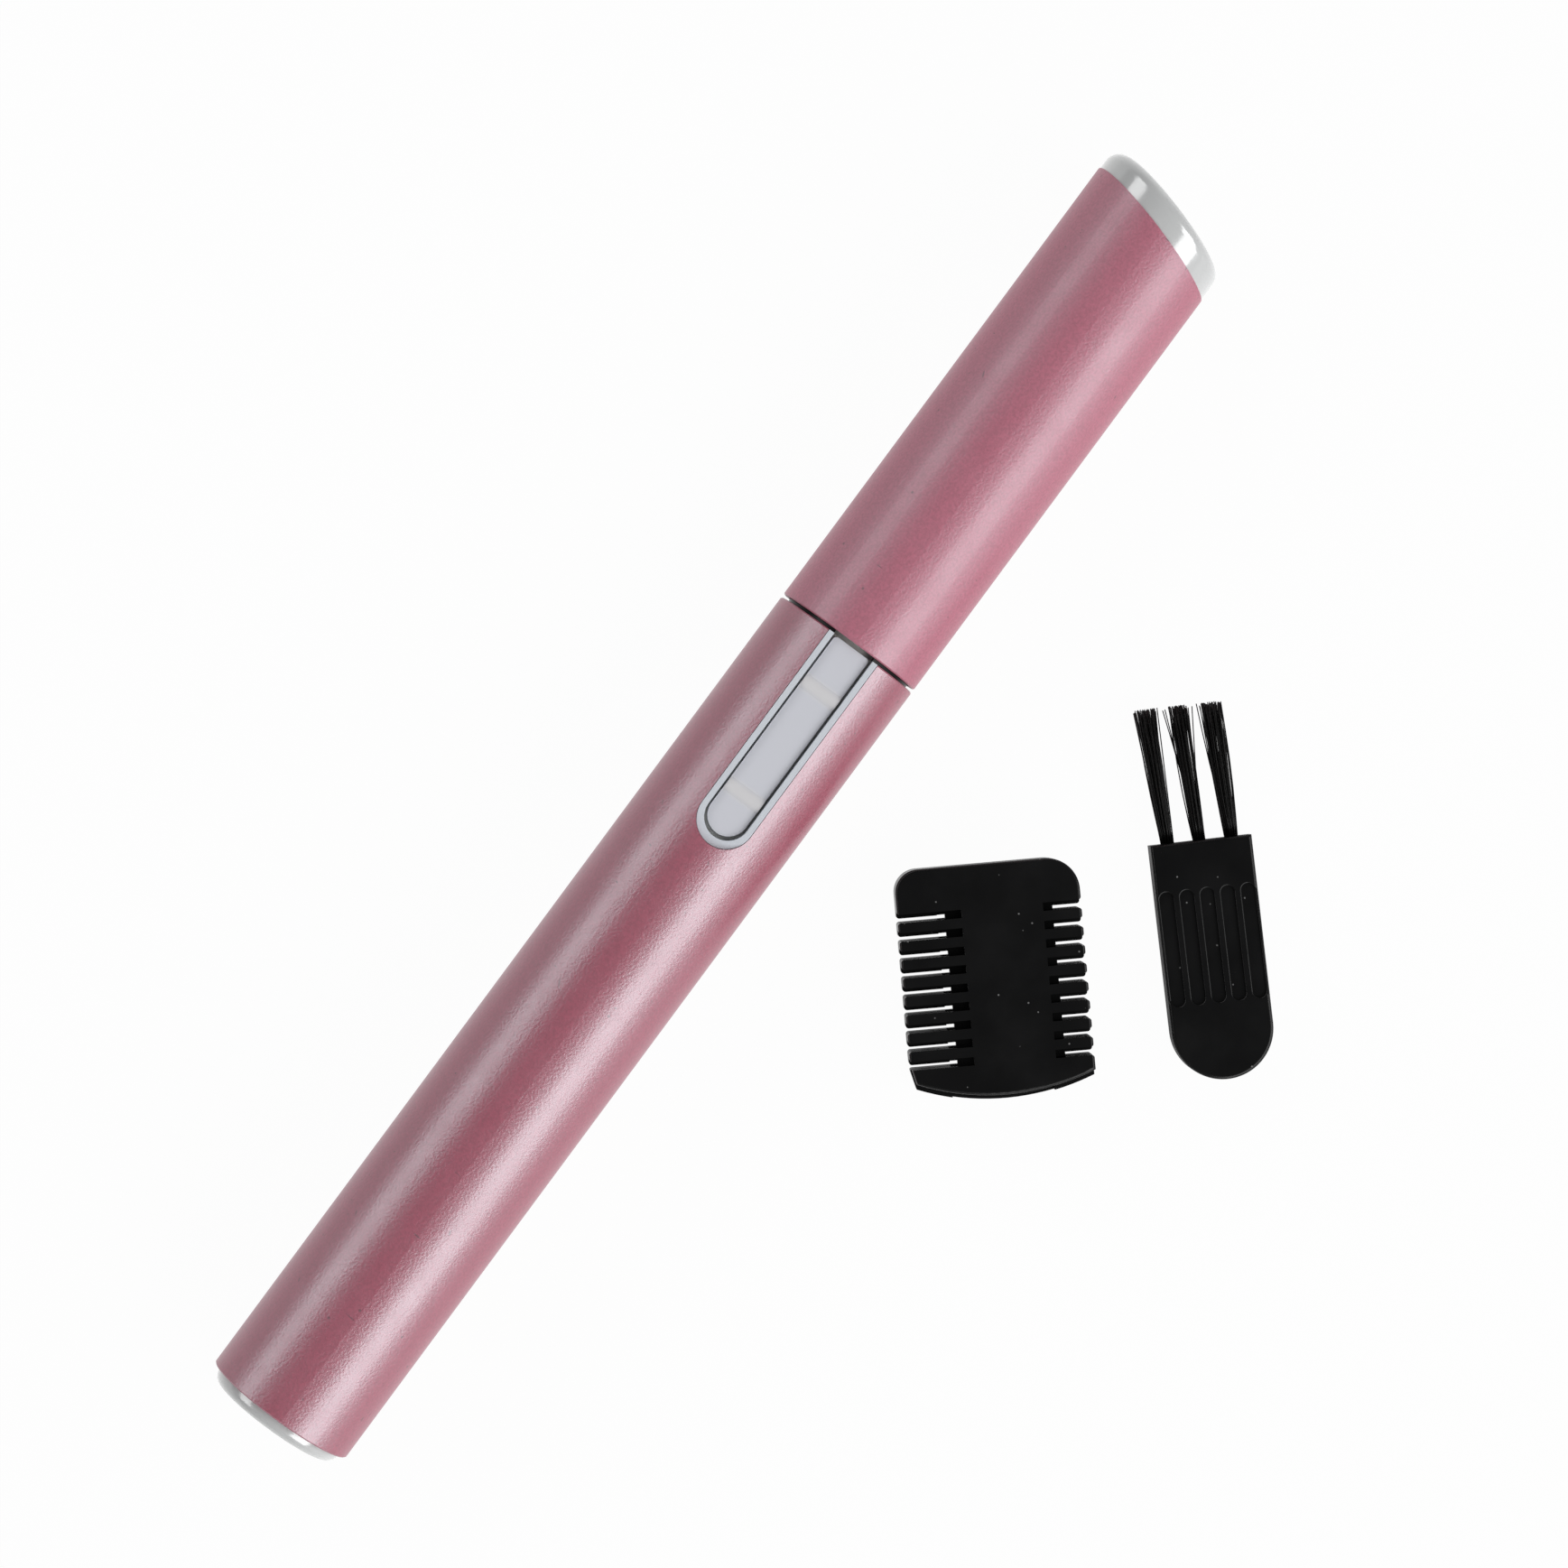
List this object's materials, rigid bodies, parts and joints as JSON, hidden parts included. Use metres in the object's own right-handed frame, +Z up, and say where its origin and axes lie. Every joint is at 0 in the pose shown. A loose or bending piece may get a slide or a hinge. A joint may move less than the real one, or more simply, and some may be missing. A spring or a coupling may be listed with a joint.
{
  "type": "pen hair trimmer set",
  "caption": "Slim pen-shaped cell-powered hair trimmer with its slant-ended cap on, a thumb switch, and a loose two-sided comb and small brush beside it.",
  "frame": {"origin": "on the pen's axis at the rim of the barrel's tail; the pen, the comb and the brush lie on the plane z = -7.5 mm", "axes": "+X along the pen from its tail to its cap, +Z up from the table, and the comb and brush on the -Y side; the pen lies rolled so that its switch points 5.4 degrees from +Z towards -Y"},
  "size_m": [0.1415, 0.0619, 0.015],
  "materials": {
    "pink_barrel": "satin",
    "pink_cap": "satin",
    "bright_plating": "polished",
    "grey_bezel": "satin",
    "grey_plate": "satin",
    "white_plastic": "matte",
    "black_plastic": "satin",
    "black_comb": "gloss",
    "bristle_nylon": "satin",
    "steel": "satin",
    "brass": "satin",
    "cell_can": "satin"
  },
  "bodies": {
    "barrel": {"barrel_shell": "pink_barrel", "tail_plug": "bright_plating"},
    "chassis": {"chassis_frame": "white_plastic", "motor_cover": "white_plastic", "cover_screws": "steel", "negative_plate": "steel", "negative_spring": "steel", "cell_body": "cell_can", "cell_button": "steel", "positive_contact": "brass", "power_strip": "brass", "front_pad": "brass", "motor_bell": "black_plastic", "motor_can": "steel", "motor_terminal": "brass", "neck_collar": "black_plastic", "head_frame": "black_plastic", "fixed_blade": "steel", "blade_screws": "steel", "switch_bezel": "grey_bezel"},
    "rotor": {"motor_shaft": "steel", "drive_cam": "white_plastic"},
    "cutter": {"cutter_blade": "steel", "cutter_yoke": "white_plastic"},
    "switch": {"switch_plate": "grey_plate", "switch_carrier": "black_plastic", "slider_contact": "brass"},
    "cap": {"cap_shell": "pink_cap", "cap_plug": "bright_plating", "cap_liner": "white_plastic"},
    "comb": {"comb": "black_comb"},
    "brush": {"brush_handle": "black_comb", "bristle_tufts": "bristle_nylon"}
  },
  "joints": [
    {"name": "chassis_slide", "type": "slide", "parent": "barrel", "child": "chassis", "axis": [1, 0, 0], "range_m": [0, 0.085]},
    {"name": "cap_slide", "type": "slide", "parent": "chassis", "child": "cap", "axis": [1, 0, 0], "range_m": [0, 0.05]},
    {"name": "switch_slide", "type": "slide", "parent": "chassis", "child": "switch", "axis": [1, 0, 0], "range_m": [0, 0.002]},
    {"name": "shaft_spin", "type": "hinge", "parent": "chassis", "child": "rotor", "pos_m": [0.0884, 0, 0], "axis": [1, 0, 0], "continuous": true},
    {"name": "cutter_stroke", "type": "slide", "parent": "chassis", "child": "cutter", "axis": [1, 0, 0], "range_m": [-0.0004, 0.0004]},
    {"name": "comb_lift", "type": "slide", "parent": "barrel", "child": "comb", "axis": [0, 0, 1], "range_m": [0, 0.04]},
    {"name": "brush_lift", "type": "slide", "parent": "barrel", "child": "brush", "axis": [0, 0, 1], "range_m": [0, 0.04]}
  ]
}
